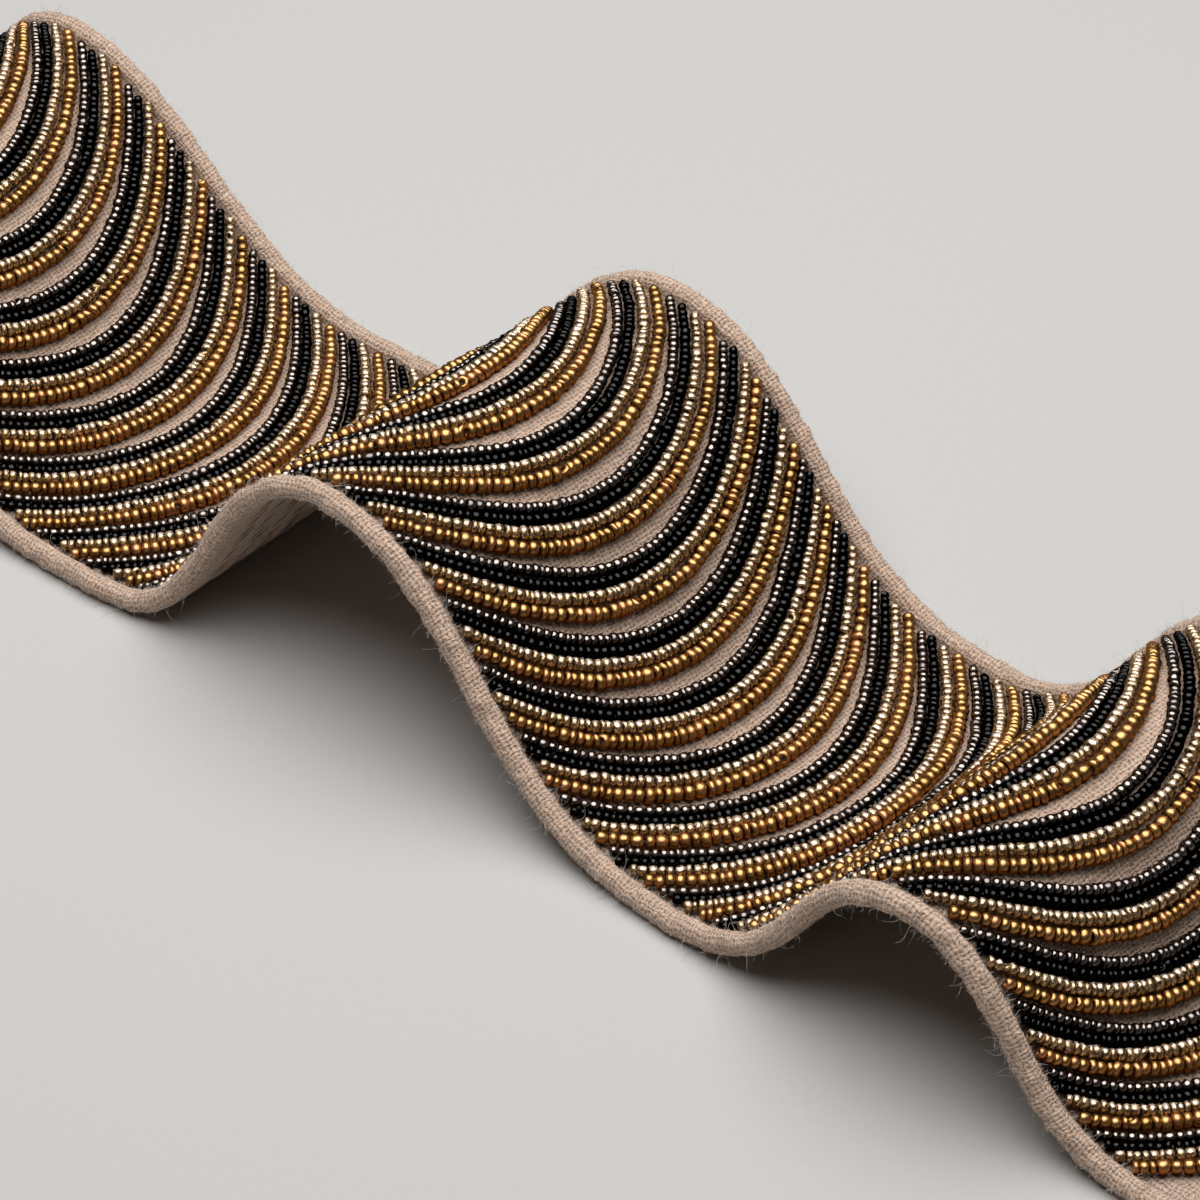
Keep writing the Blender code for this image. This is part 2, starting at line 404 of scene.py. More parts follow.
class Paint:
    """A new Principled material and the nodes that feed it."""

    def __init__(self, name, **constants):
        self.material = bpy.data.materials.new(name)
        self.material.use_nodes = True
        self.tree = self.material.node_tree
        self.shader = self.tree.nodes["Principled BSDF"]
        for key, value in constants.items():
            self.shader.inputs[key.replace("_", " ")].default_value = value

    def node(self, kind, settings=None, sockets=None, output=0):
        """Add one node and return a wire from its output."""
        made = self.tree.nodes.new(kind)
        for key, value in (settings or {}).items():
            if key == "stops":
                self._set_stops(made.color_ramp, value)
            else:
                setattr(made, key, value)
        for key, value in (sockets or {}).items():
            self.feed(made.inputs[key], value)
        return Wire(self, made.outputs[output])

    def feed(self, socket, value):
        """Give a socket a wire or a constant."""
        if isinstance(value, Wire):
            self.tree.links.new(value.socket, socket)
        else:
            socket.default_value = value

    @staticmethod
    def _set_stops(ramp, stops):
        while len(ramp.elements) < len(stops):
            ramp.elements.new(1.0)
        for element, (place, colour) in zip(ramp.elements, stops):
            element.position = place
            element.color = colour

    def value(self, attribute, part="Fac"):
        """A wire from a mesh attribute."""
        return self.node("ShaderNodeAttribute", {"attribute_name": attribute}, output=part)

    def maths(self, operation, *values):
        """A Math node that has no operator of its own, such as a sine."""
        return self.node("ShaderNodeMath", {"operation": operation}, dict(enumerate(values)))

    def vector(self, x, y, z):
        """One vector from three numbers or wires."""
        return self.node("ShaderNodeCombineXYZ", None, {"X": x, "Y": y, "Z": z})

    def noise(self, place, scale, detail=2.0, roughness=0.5):
        """Noise from 0 to 1 at a place."""
        sockets = {"Vector": place, "Scale": scale, "Detail": detail, "Roughness": roughness}
        return self.node("ShaderNodeTexNoise", None, sockets, "Fac")

    def blend(self, share, first, second, mode="MIX"):
        """Mix two colours."""
        settings = {"data_type": "RGBA", "blend_type": mode}
        return self.node("ShaderNodeMix", settings, {0: share, 6: first, 7: second}, 2)

    def share(self, value, low, high):
        """From 0 at a low value to 1 at a high one."""
        sockets = {"Value": value, "From Min": low, "From Max": high}
        return self.node("ShaderNodeMapRange", {"clamp": True}, sockets)

    def bump(self, height, distance, strength):
        """Normal of a relief of some height."""
        sockets = {"Height": height, "Distance": distance, "Strength": strength}
        return self.node("ShaderNodeBump", None, sockets, "Normal")

    def set(self, **values):
        """Feed the shader's own sockets."""
        for key, value in values.items():
            self.feed(self.shader.inputs[key.replace("_", " ")], value)
        return self.material


def tinted(colour, *shares):
    """A colour as four numbers, each of its parts scaled where shares are given."""
    return (*(min(1.0, part * share) for part, share in zip(colour, shares or (1.0, 1.0, 1.0))), 1.0)


def build_mesh(name, places, quads, material, triangles=(), **attributes):
    """One smooth object from arrays, with number and vector attributes on its points or corners."""
    mesh = bpy.data.meshes.new(name)
    quads = np.asarray(quads, dtype=np.int32).reshape(-1, 4)
    triangles = np.asarray(triangles, dtype=np.int32).reshape(-1, 3)
    corners = np.concatenate([quads.ravel(), triangles.ravel()])
    starts = running_sum([4] * len(quads) + [3] * len(triangles))[:-1]
    mesh.vertices.add(len(places))
    mesh.vertices.foreach_set("co", np.asarray(places, dtype=np.float32).ravel())
    mesh.loops.add(len(corners))
    mesh.loops.foreach_set("vertex_index", corners)
    mesh.polygons.add(len(starts))
    mesh.polygons.foreach_set("loop_start", starts.astype(np.int32))
    mesh.update(calc_edges=True)
    mesh.shade_smooth()
    for key, values in attributes.items():
        values = np.asarray(values, dtype=np.float32)
        kind, field = ("FLOAT", "value") if values.ndim == 1 else ("FLOAT_VECTOR", "vector")
        domain = "POINT" if len(values) == len(places) else "CORNER"
        mesh.attributes.new(key, kind, domain).data.foreach_set(field, values.ravel())
    if mesh.validate():
        raise RuntimeError(f"{name} has broken faces")
    mesh.materials.append(material)
    thing = bpy.data.objects.new(name, mesh)
    bpy.context.scene.collection.objects.link(thing)
    return thing


def tube_arrays(paths, radii, pointed):
    """Closed three-sided tubes along paths (count, points, 3): places, quads and triangles.

    A pointed tube ends in its path's last point, and another one in a flat face.
    """
    count, points = paths.shape[:2]
    radii = np.broadcast_to(radii, (count, points))
    heading = unit(np.gradient(paths, axis=1))
    helper = np.where(np.abs(heading[..., 2:3]) > 0.9, [1.0, 0.0, 0.0], [0.0, 0.0, 1.0])
    side = unit(np.cross(heading, helper))
    other = np.cross(heading, side)
    turn = TURN * np.arange(3) / 3
    ring = side[:, :, None] * np.cos(turn)[:, None] + other[:, :, None] * np.sin(turn)[:, None]
    places = (paths[:, :, None] + ring * radii[:, :, None, None]).reshape(count, -1, 3)
    rings = points - 1 if pointed else points
    places = places[:, : 3 * rings]
    i, j = np.meshgrid(np.arange(rings - 1), np.arange(3), indexing="ij")
    k = (j + 1) % 3
    quads = np.stack([i * 3 + j, i * 3 + k, (i + 1) * 3 + k, (i + 1) * 3 + j], -1).reshape(-1, 4)
    last = 3 * rings - 3
    ends = [[2, 1, 0]]
    if pointed:
        places = np.concatenate([places, paths[:, -1:]], axis=1)
        ends += [[last, last + 1, last + 3], [last + 1, last + 2, last + 3], [last + 2, last, last + 3]]
    else:
        ends.append([last, last + 1, last + 2])
    first = np.arange(count)[:, None, None] * places.shape[1]
    return places.reshape(-1, 3), (quads + first).reshape(-1, 4), (np.array(ends) + first).reshape(-1, 3)


def join_tubes(groups):
    """Many groups of tubes, each (paths, radii, pointed), as one set of places, quads and triangles."""
    places, *faces = zip(*(tube_arrays(*group) for group in groups))
    starts = np.cumsum([0] + [len(block) for block in places[:-1]])
    joined = [np.concatenate([block + start for block, start in zip(kind, starts)]) for kind in faces]
    return np.concatenate(places), *joined


def weave_height(paint, flat, cloth):
    """Places along and across the cloth in millimetres, and the plain weave's height there.

    The height goes from 0, a pit between four yarns, to 1, the top of a yarn that passes over.
    """
    run = paint.node("ShaderNodeSeparateXYZ", None, {0: flat}, "X")
    turn = paint.node("ShaderNodeSeparateXYZ", None, {0: flat}, "Y")
    drift = paint.noise(flat, 0.75, 3.0, 0.6) - 0.5
    moved = paint.node("ShaderNodeVectorMath", {"operation": "ADD"}, {0: flat, 1: (31.0, 17.0, 5.0)})
    drift_over = paint.noise(moved, 0.85, 3.0, 0.6) - 0.5
    sine_weft = paint.maths("SINE", (run * (MM / cloth.weft_pitch) + drift * 2.2) * math.pi)
    sine_warp = paint.maths("SINE", (turn * (MM / cloth.warp_pitch) + drift_over * 2.2) * math.pi)
    check = sine_weft * sine_warp
    round_weft = paint.maths("ABSOLUTE", sine_weft)
    round_warp = paint.maths("ABSOLUTE", sine_warp)
    weft = round_weft * (0.5 + 0.5 * check)
    warp = round_warp * (0.5 - 0.5 * check) * 0.80
    pit = (1.0 - round_weft) * (1.0 - round_warp)
    return run, turn, 0.60 * paint.maths("MAXIMUM", weft, warp) + 0.40 * (1.0 - pit)


def linen_material(cloth):
    """Plain-weave linen: raised yarns over and under, uneven yarns, a soft fibrous bloom and painted shade
    in the pits.
    """
    paint = Paint("linen", Roughness=0.92, Sheen_Weight=0.12, Sheen_Roughness=0.45)
    flat = paint.value("flat_mm", "Vector")
    run, turn, height = weave_height(paint, flat, cloth)
    fluff = paint.noise(flat, 2.1, 3.0, 0.7)
    thick = paint.noise(paint.vector(run * 2.0, turn * 0.10, 7.0), 1.0, 1.0)
    thick_over = paint.noise(paint.vector(run * 0.10, turn * 1.8, 0.0), 1.0, 1.0)
    relief = height * (0.6 + 0.4 * thick + 0.4 * thick_over) + 0.95 * (fluff - 0.5)
    # Painted shade: the yarns' colour darkens into the weave's pits, following the relief's height
    base = paint.blend(paint.share(relief, 0.12, 0.86), tinted(cloth.gap), tinted(cloth.linen))
    cloud = paint.noise(flat, 0.22, 3.0)
    tone = 0.74 + 0.22 * thick + 0.18 * thick_over + 0.16 * cloud
    colour = paint.blend(1.0, base, paint.vector(tone, tone, tone), "MULTIPLY")
    return paint.set(Base_Color=colour, Normal=paint.bump(relief, 0.00026, 1.0))


def fibre_material():
    """Loose linen fibre, paler than the yarns and each with its own tone."""
    paint = Paint("linen fibre", Roughness=0.7, Sheen_Weight=0.4)
    dark, pale = (0.40, 0.33, 0.28, 1.0), (0.78, 0.70, 0.62, 1.0)
    return paint.set(Base_Color=paint.blend(paint.value("tone"), dark, pale))


def thread_material(beads):
    """Matt sewing thread, darker in places."""
    paint = Paint("sewing thread", Roughness=0.75)
    twist = paint.noise(paint.value("flat_mm", "Vector"), 6.0, 2.0)
    dark = tinted(beads.thread, 0.55, 0.55, 0.55)
    return paint.set(Base_Color=paint.blend(twist, dark, tinted(beads.thread)))


def unshaded_share(paint, low, high, stray=0.0):
    """From 0 on the low side of a bead, where its painted shade is full, to 1 on its upper side."""
    rise = paint.value("rise")
    if stray:
        rise = rise + stray * (paint.value("tone") - 0.5)
    return paint.share(rise, low, high)


def grey_material(beads):
    """Dark grey metallic glass, nearly a mirror, with painted shade on each bead's low side."""
    paint = Paint("grey metallic beads", Metallic=1.0, Specular_Tint=(0.14, 0.12, 0.11, 1.0))
    grain = paint.noise(paint.value("bead_mm", "Vector"), 3.0, 2.0)
    tone = paint.value("tone")
    own = paint.blend(tone * tone, tinted(beads.grey), tinted(beads.grey, 0.55, 0.55, 0.57))
    # Painted shade: a darker copy of the grey for each bead's low side, varied by tone
    low = paint.blend(tone, tinted(beads.grey, 0.06, 0.055, 0.055), tinted(beads.grey, 0.16, 0.14, 0.13))
    colour = paint.blend(unshaded_share(paint, 0.14, 0.62, 0.3), low, own)
    rough = 0.11 + 0.14 * tone + 0.05 * grain
    return paint.set(Base_Color=colour, Roughness=rough, Normal=paint.bump(grain, 0.00004, 0.4))


def black_material(beads):
    """Opaque black glass with a soft gloss and painted shade on each bead's low side."""
    paint = Paint("gloss black beads", Metallic=1.0, Specular_Tint=(0.10, 0.10, 0.10, 1.0))
    tone = paint.value("tone")
    grain = paint.noise(paint.value("bead_mm", "Vector"), 2.6, 2.0)
    own = paint.blend(tone, tinted(beads.black), tinted(beads.black, 0.62, 0.62, 0.64))
    # Painted shade: each bead darker on its low side
    colour = paint.blend(unshaded_share(paint, 0.2, 0.6), tinted(beads.black, 0.12, 0.11, 0.11), own)
    rough = 0.07 + 0.10 * tone
    return paint.set(Base_Color=colour, Roughness=rough, Normal=paint.bump(grain, 0.00004, 0.4))


def champagne_material(beads):
    """Silver-lined glass: a painted white glint above; below, warm random cells with painted sparks."""
    paint = Paint("silver-lined champagne beads", Specular_Tint=(0.45, 0.38, 0.26, 1.0))
    place = paint.value("bead_mm", "Vector")
    tone = paint.value("tone")
    facets = paint.node("ShaderNodeTexVoronoi", {"feature": "F1"}, {"Vector": place, "Scale": 3.2}, "Color")
    spark = paint.node("ShaderNodeSeparateColor", None, {0: facets}, "Red")
    hue = paint.node("ShaderNodeSeparateColor", None, {0: facets}, "Green")
    cells = paint.noise(place, 3.0, 2.0)
    # Painted highlight: the mask of a bright glint on each bead's upper side, broken by noise
    share = paint.share(paint.value("rise") + 0.7 * (cells - 0.5), 0.76, 0.84)
    # Clear side: random cells from dark amber up to the silver colour; the bright cells are painted sparks
    # of light
    clear = paint.node("ShaderNodeValToRGB", {"stops": (
        (0.0, tinted(beads.amber, 0.16, 0.13, 0.16)),
        (0.30, tinted(beads.amber, 0.62, 0.58, 0.50)),
        (0.55, tinted(beads.amber, 1.0, 1.0, 1.05)),
        (0.78, tinted(beads.amber, 1.7, 1.40, 0.9)),
        (1.0, tinted(beads.silver, 1.0, 0.92, 0.76)),
    )}, {0: spark})
    warm = paint.blend(0.5 * hue, clear, tinted(beads.silver, 0.44, 0.33, 0.27))
    # Colour of the painted glint: the silver colour, varied by tone
    top = paint.blend(tone, tinted(beads.silver), tinted(beads.silver, 0.82, 0.74, 0.64))
    colour = paint.blend(share, warm, top)
    rough = 0.18 + 0.18 * cells
    # Where the painted glint lies, the bead is less metallic
    return paint.set(
        Base_Color=colour, Metallic=0.85 - 0.25 * share, Roughness=rough,
        Normal=paint.bump(spark, 0.00006, 0.6),
    )


def gold_material(beads):
    """Satin gold-bronze coat on glass, each bead with its own warmth, with painted shade deepening its low
    side.
    """
    paint = Paint("satin gold beads", Metallic=1.0, Specular_Tint=(0.60, 0.34, 0.14, 1.0))
    grain = paint.noise(paint.value("bead_mm", "Vector"), 3.2, 3.0)
    own = paint.node("ShaderNodeValToRGB", {"stops": (
        (0.0, tinted(beads.gold, 0.80, 0.78, 0.68)),
        (0.35, tinted(beads.gold)),
        (0.80, tinted(beads.gold, 1.10, 1.03, 1.0)),
        (1.0, tinted(beads.gold, 1.10, 0.92, 1.03)),
    )}, {0: paint.value("tone")})
    # Painted shade: a deeper, browner copy of each bead's colour for its low side
    shaded_low = paint.blend(1.0, own, (0.56, 0.37, 0.18, 1.0), "MULTIPLY")
    colour = paint.blend(unshaded_share(paint, -0.30, 0.85, 0.2), shaded_low, own)
    rough = 0.27 + 0.08 * paint.value("tone") + 0.08 * grain
    return paint.set(Base_Color=colour, Roughness=rough, Normal=paint.bump(grain, 0.00004, 0.5))


def hem_outline():
    """The strip's outline, (across, above) from below one hem, and the distance round to each point."""
    drop = math.sqrt(HEM_RADIUS**2 - (HALF_CLOTH - HEM_ABOVE) ** 2)
    start = math.atan2(-HALF_CLOTH - HEM_ABOVE, 0.0)
    end = math.atan2(HALF_CLOTH - HEM_ABOVE, -drop) % TURN
    turn = np.linspace(start, end, HEM_POINTS)
    right = np.stack([HEM_ACROSS + HEM_RADIUS * np.cos(turn), HEM_ABOVE + HEM_RADIUS * np.sin(turn)], -1)
    inner = HEM_ACROSS - drop
    top = np.linspace(inner, -inner, WEB_POINTS + 2)[1:-1]
    top = np.stack([top, np.full_like(top, HALF_CLOTH)], -1)
    left = right[::-1] * [-1.0, 1.0]
    under = np.linspace(-HEM_ACROSS, HEM_ACROSS, WEB_POINTS + 2)[1:-1]
    under = np.stack([under, np.full_like(under, -HALF_CLOTH)], -1)
    outline = np.concatenate([right, top, left, under])
    return outline, line_lengths(outline)


def hem_outward(outline):
    """Direction away from the middle of the nearer hem, for each point of the outline."""
    middle = np.sign(outline[:, 0]) * HEM_ACROSS
    return unit(outline - np.stack([middle, np.full(len(outline), HEM_ABOVE)], -1))


def check_fit(places):
    """Stop where the strip has left the frame's cloth by more than a millimetre."""
    ends = places.reshape(-1, 3)
    for mine, theirs in zip((ends.min(axis=0), ends.max(axis=0)), TAPE_BOX[:2]):
        if np.abs(mine - np.array(theirs)).max() > MM:
            raise RuntimeError(f"the strip ends at {mine}, the frame's cloth at {theirs}")


class TAPE_OT_linen(bpy.types.Operator):
    """Make the woven linen strip with its rolled hems."""

    bl_idname = "beaded_tape.linen"
    bl_label = "Linen Strip"

    def execute(self, context):
        cloth = context.scene.tape_cloth
        outline, distance = hem_outline()
        count = int(round(COURSE.length / cloth.section_step))
        along = np.linspace(0.0, COURSE.length, count + 1)
        rng = np.random.default_rng(STRIP_SEED)
        slub = self._slubs(rng, along, outline, distance)
        outward = hem_outward(outline)
        across = outline[None, :, 0] + slub * outward[:, 0]
        above = outline[None, :, 1] + slub * outward[:, 1]
        places = lifted(COURSE.place(along[:, None], across, above), 0.0)
        around = len(outline)
        i, j = np.meshgrid(np.arange(count), np.arange(around), indexing="ij")
        k = (j + 1) % around
        quads = np.stack([i * around + k, (i + 1) * around + k, (i + 1) * around + j, i * around + j], -1)
        reach = np.append(distance, distance[-1] + np.linalg.norm(outline[0] - outline[-1]))
        flat = np.stack([
            np.stack([along[i], along[i + 1], along[i + 1], along[i]], -1),
            np.stack([reach[j + 1], reach[j + 1], reach[j], reach[j]], -1),
            np.zeros((count, around, 4)),
        ], -1)
        cap, tips = self._cap(around)
        cut = np.stack([outline[:, 1], outline[:, 0], np.zeros(around)], -1)
        cut_flat = [cut[faces].reshape(-1, 3) for faces in (cap[:, ::-1], cap, tips[:, ::-1], tips)]
        last = count * around
        strip = build_mesh(
            "linen_strip", places.reshape(-1, 3),
            np.concatenate([quads.reshape(-1, 4), cap[:, ::-1], cap + last]),
            linen_material(cloth),
            triangles=np.concatenate([tips[:, ::-1], tips + last]),
            flat_mm=np.concatenate([flat.reshape(-1, 3), *cut_flat]) / MM,
        )
        self._sharpen(strip.data, around, last)
        check_fit(places)
        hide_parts("tape")
        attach(strip, "root")
        return {"FINISHED"}

    @staticmethod
    def _slubs(rng, along, outline, distance):
        """Knobbly swelling of the rolled hems: how far each point stands out."""
        inner = 0.5 * TAPE_WIDTH - HEM_DIAMETER
        weight = np.clip((np.abs(outline[:, 0]) - inner) / (0.3 * HEM_DIAMETER), 0.0, 1.0)
        weight = weight * np.clip((outline[:, 1] + HALF_CLOTH) / SWELL_FADE, 0.0, 1.0)
        swell = np.full((len(along), len(outline)), SWELL_BASE)
        for length, size in SWELLS:
            for layer in range(SWELL_LAYERS):
                slant = rng.uniform(-0.8, 0.8)
                turns = along[:, None] / (length * rng.uniform(0.85, 1.2)) + slant * distance / SLANT_LENGTH
                swell += np.sin(TURN * (turns + rng.random())) * size * MM
        return swell * weight

    @staticmethod
    def _cap(around):
        """Quads and triangles that close the far cut end, numbered round the outline."""
        hem = HEM_POINTS - 1
        i = np.arange(hem // 2 - 1)
        roll = np.stack([i, i + 1, hem - 1 - i, hem - i], -1)
        tip = np.array([[hem // 2 - 1, hem // 2, hem // 2 + 1]])
        j = np.arange(WEB_POINTS + 1)
        web = np.stack([hem + j, hem + j + 1, (around - 1 - j) % around, (around - j) % around], -1)
        left = HEM_POINTS + WEB_POINTS
        return np.concatenate([roll, web, roll + left]), np.concatenate([tip, tip + left])

    @staticmethod
    def _sharpen(mesh, around, last):
        """Keep the edge of both cut ends sharp."""
        ends = np.empty(len(mesh.edges) * 2, dtype=np.int32)
        mesh.edges.foreach_get("vertices", ends)
        ends = ends.reshape(-1, 2)
        sharp = (ends < around).all(axis=1) | (ends >= last).all(axis=1)
        mesh.attributes.new("sharp_edge", "BOOLEAN", "EDGE").data.foreach_set("value", sharp)


def strand_offsets():
    """Distance of each string's middle from the traced string, square to the arc."""
    middles = np.cumsum([strand.step for strand in STRANDS])
    return list(middles - middles[TRACED_STRAND])


def string_line(band, offset, wander, rng):
    """A string's dense line on the flat cloth: along and across, ends cut at the hems."""
    share = np.linspace(-STRING_REACH, STRING_REACH, STRING_SAMPLES)
    half = 0.5 * BAND_SPAN
    turn = np.arctan(-2.0 * BAND_SAG * share / half)
    stray = np.zeros_like(share)
    for waves in STRAY_WAVES:
        stray += np.sin(TURN * (waves * share / 2.0 + rng.random())) * rng.normal() / waves**0.5
    offset = offset * (1.0 - CROWDING * share**4) + wander * stray
    across = half * share - offset * np.sin(turn)
    along = FIRST_BAND_START + band * BAND_PITCH + BAND_SAG * (1.0 - share**2) + offset * np.cos(turn)
    low = -BEAD_LIMIT + rng.uniform(-END_OUT, END_IN)
    high = BEAD_LIMIT + rng.uniform(-END_IN, END_OUT)
    keep = (across > low) & (across < high)
    return along[keep], across[keep]


def hole_height(strand):
    """Height of a string's holes above the middle of the cloth."""
    return HALF_CLOTH + 0.5 * strand.diameter + strand.lift


def string_beads(along, across, strand, rng):
    """Bead middles along and across the flat cloth, and the beads' lengths."""
    run = line_lengths(COURSE.place(along, across, hole_height(strand)))
    guess = int(run[-1] / strand.length * 1.25)
    lengths = strand.length * np.clip(1.0 + strand.length_spread * rng.normal(size=guess), 0.6, 1.5)
    ends = np.cumsum(lengths)
    lengths = lengths[ends < run[-1]]
    ends = ends[ends < run[-1]]
    slack = (run[-1] - ends[-1]) / len(ends)
    ends = ends + slack * np.arange(1, len(ends) + 1)
    middles = ends - 0.5 * lengths - 0.5 * slack
    return np.interp(middles, run, along), np.interp(middles, run, across), lengths


def bead_template(outline, sides):
    """One bead of length and radius one about X: places (points, 3) and quads."""
    turn = TURN * np.arange(sides) / sides
    rings = [[(x, r * math.cos(a), r * math.sin(a)) for a in turn] for x, r in outline]
    i, j = np.meshgrid(np.arange(len(outline)), np.arange(sides), indexing="ij")
    k = (j + 1) % sides
    n = (i + 1) % len(outline)
    quads = np.stack([i * sides + j, n * sides + j, n * sides + k, i * sides + k], -1)
    return np.array(rings).reshape(-1, 3), quads.reshape(-1, 4)[:, ::-1]


def bead_arrays(strand, number, offset, bands, wander):
    """All beads of one kind in some bands as arrays for one mesh."""
    large = strand.name == "gold"
    shape, faces = bead_template(LARGE_BEAD_OUTLINE if large else SMALL_BEAD_OUTLINE, BEAD_SIDES)
    places, quads, tones, rises, local = [], [], [], [], []
    for band in bands:
        rng = np.random.default_rng([BEAD_SEED, number, band])
        line_along, line_across = string_line(band, offset, wander, rng)
        along, across, lengths = string_beads(line_along, line_across, strand, rng)
        count = len(along)
        jitter = rng.normal(size=(count, 2)) * JITTER * strand.diameter
        radius = 0.5 * SIDE_ROUNDING * strand.diameter * (1.0 + strand.size_spread * rng.normal(size=count))
        radius *= 1.0 - END_TAPER * (across / (0.5 * BAND_SPAN)) ** 4
        middle = COURSE.place(along, across, hole_height(strand) + np.abs(jitter[:, 0]))
        heading = unit(np.gradient(middle, axis=0))
        up = COURSE.normal(along)
        up = unit(up - heading * np.sum(up * heading, axis=-1, keepdims=True))
        side = np.cross(up, heading)
        middle = middle + side * jitter[:, 1:2]
        tilt = np.radians(strand.tilt_deg) * rng.normal(size=(count, 2))
        turned = rng.random(count) < TURNED_SHARE
        askew = (turned.sum(), 2)
        tilt[turned] += rng.uniform(*TURNED_TILT, askew) * rng.choice([-1.0, 1.0], askew)
        heading = unit(heading + side * tilt[:, :1] + up * tilt[:, 1:])
        side = unit(side - heading * np.sum(side * heading, axis=-1, keepdims=True))
        top = np.cross(heading, side)
        spin = rng.uniform(0.0, TURN, count)[:, None]
        y_axis = side * np.cos(spin) + top * np.sin(spin)
        z_axis = np.cross(heading, y_axis)
        oval = 1.0 + OVAL_SPREAD * rng.normal(size=(count, 1, 1))
        body = (
            middle[:, None]
            + heading[:, None] * (shape[None, :, :1] * lengths[:, None, None] * BEAD_FIT)
            + y_axis[:, None] * (shape[None, :, 1:2] * radius[:, None, None] * oval)
            + z_axis[:, None] * (shape[None, :, 2:] * radius[:, None, None])
        )
        first = sum(len(block) for block in places)
        places.append(body.reshape(-1, 3))
        start = first + np.arange(count)[:, None, None] * len(shape)
        quads.append((faces[None] + start).reshape(-1, 4))
        tones.append(np.repeat(rng.random(count), len(shape)))
        # Each point's height on its bead along the world's Z, by the bead's radius: the mask of the beads'
        # painted shade and painted glint
        rises.append(((body - middle[:, None])[..., 2] / radius[:, None]).ravel())
        shift = rng.uniform(0.0, PAINT_ROOM, (count, 1, 3))
        usual = np.array([lengths.mean(), radius.mean(), radius.mean()]) / MM
        local.append((shape[None] * usual + shift).reshape(-1, 3))
    return [np.concatenate(block) for block in (places, quads, tones, rises, local)]


BEAD_PAINTS = {
    "grey": grey_material,
    "black": black_material,
    "champagne": champagne_material,
    "gold": gold_material,
}


def band_halves():
    """The bands in two runs, so that a piece stays light: name and band numbers from 0."""
    middle = len(BAND_NODES) // 2
    return (("left", range(0, middle)), ("right", range(middle, len(BAND_NODES))))


class TAPE_OT_beads(bpy.types.Operator):
    """String every bead of one kind along its arcs."""

    bl_idname = "beaded_tape.beads"
    bl_label = "Bead Strings"

    kind: bpy.props.IntProperty(name="Kind", description="Which string of a band", default=0, min=0, max=3)

    def execute(self, context):
        beads = context.scene.tape_beads
        strand = STRANDS[self.kind]
        offset = strand_offsets()[self.kind]
        material = BEAD_PAINTS[strand.name](beads)
        for half, bands in band_halves():
            places, quads, tones, rises, local = bead_arrays(strand, self.kind, offset, bands, beads.wander)
            piece = build_mesh(
                f"{strand.name}_beads_{half}", places, quads, material,
                tone=tones, rise=rises, bead_mm=local,
            )
            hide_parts(*[BAND_NODES[band] for band in bands])
            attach(piece, "root")
        return {"FINISHED"}


class TAPE_OT_thread(bpy.types.Operator):
    """Run the thread through each string and couch it down between beads."""

    bl_idname = "beaded_tape.thread"
    bl_label = "Sewing Thread"

    def execute(self, context):
        beads = context.scene.tape_beads
        cores, loops, backs = [], [], []
        for number, (strand, offset) in enumerate(zip(STRANDS, strand_offsets())):
            for band in range(len(BAND_NODES)):
                rng = np.random.default_rng([BEAD_SEED, number, band])
                along, across = string_line(band, offset, beads.wander, rng)
                cores.append(self._core(along, across, strand))
                loops.append(self._loops(along, across, strand, rng))
                backs.append(self._backs(along, across, rng))
        places, quads, ends = join_tubes([
            (np.stack(cores), CORE_RADIUS, False),
            (np.concatenate(loops), LOOP_RADIUS, False),
            (np.concatenate(backs), BACK_RADIUS, False),
        ])
        places = lifted(places, THREAD_LIFT)
        piece = build_mesh(
            "sewing_thread", places, quads, thread_material(beads), ends, flat_mm=places / MM,
        )
        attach(piece, "root")
        return {"FINISHED"}

    @staticmethod
    def _core(along, across, strand):
        """The thread in a string's holes, dipping into the cloth at both ends."""
        pick = np.linspace(0, len(along) - 1, CORE_POINTS).round().astype(int)
        above = np.full(len(pick), hole_height(strand))
        above[[0, -1]] = HALF_CLOTH - CORE_DIP
        return COURSE.place(along[pick], across[pick], above)

    @staticmethod
    def _loops(along, across, strand, rng):
        """Couching loops over the string between two beads, down to the cloth on both sides."""
        pick = np.sort(rng.integers(LOOP_MARGIN, len(along) - LOOP_MARGIN, LOOPS_PER_STRING))
        line = np.stack([along, across], -1)
        heading = unit(line[pick + 2] - line[pick - 2])
        over, rise = np.array(LOOP_SHAPE).T
        spread = LOOP_SPREAD * strand.diameter
        go_along = along[pick][:, None] - heading[:, 1:] * over * spread
        go_across = across[pick][:, None] + heading[:, :1] * over * spread
        rise = rise * strand.diameter + strand.lift
        return COURSE.place(go_along, go_across, HALF_CLOTH + rise[None, :])

    @staticmethod
    def _backs(along, across, rng):
        """Stitches that show on the underside, in a broken line below each string."""
        count = BACKS_PER_STRING
        at = (np.arange(count) + 0.5 + rng.uniform(-0.12, 0.12, count)) / count * (len(along) - 1)
        step = BACK_REACH / count * len(along)
        line = np.arange(len(along))
        stray = rng.normal(0.0, BACK_STRAY, (count, 3))
        go = at[:, None] + np.array([-1.0, 0.0, 1.0]) * step
        above = -HALF_CLOTH + np.array(BACK_SHAPE)
        return COURSE.place(np.interp(go, line, along) + stray, np.interp(go, line, across), above[None, :])


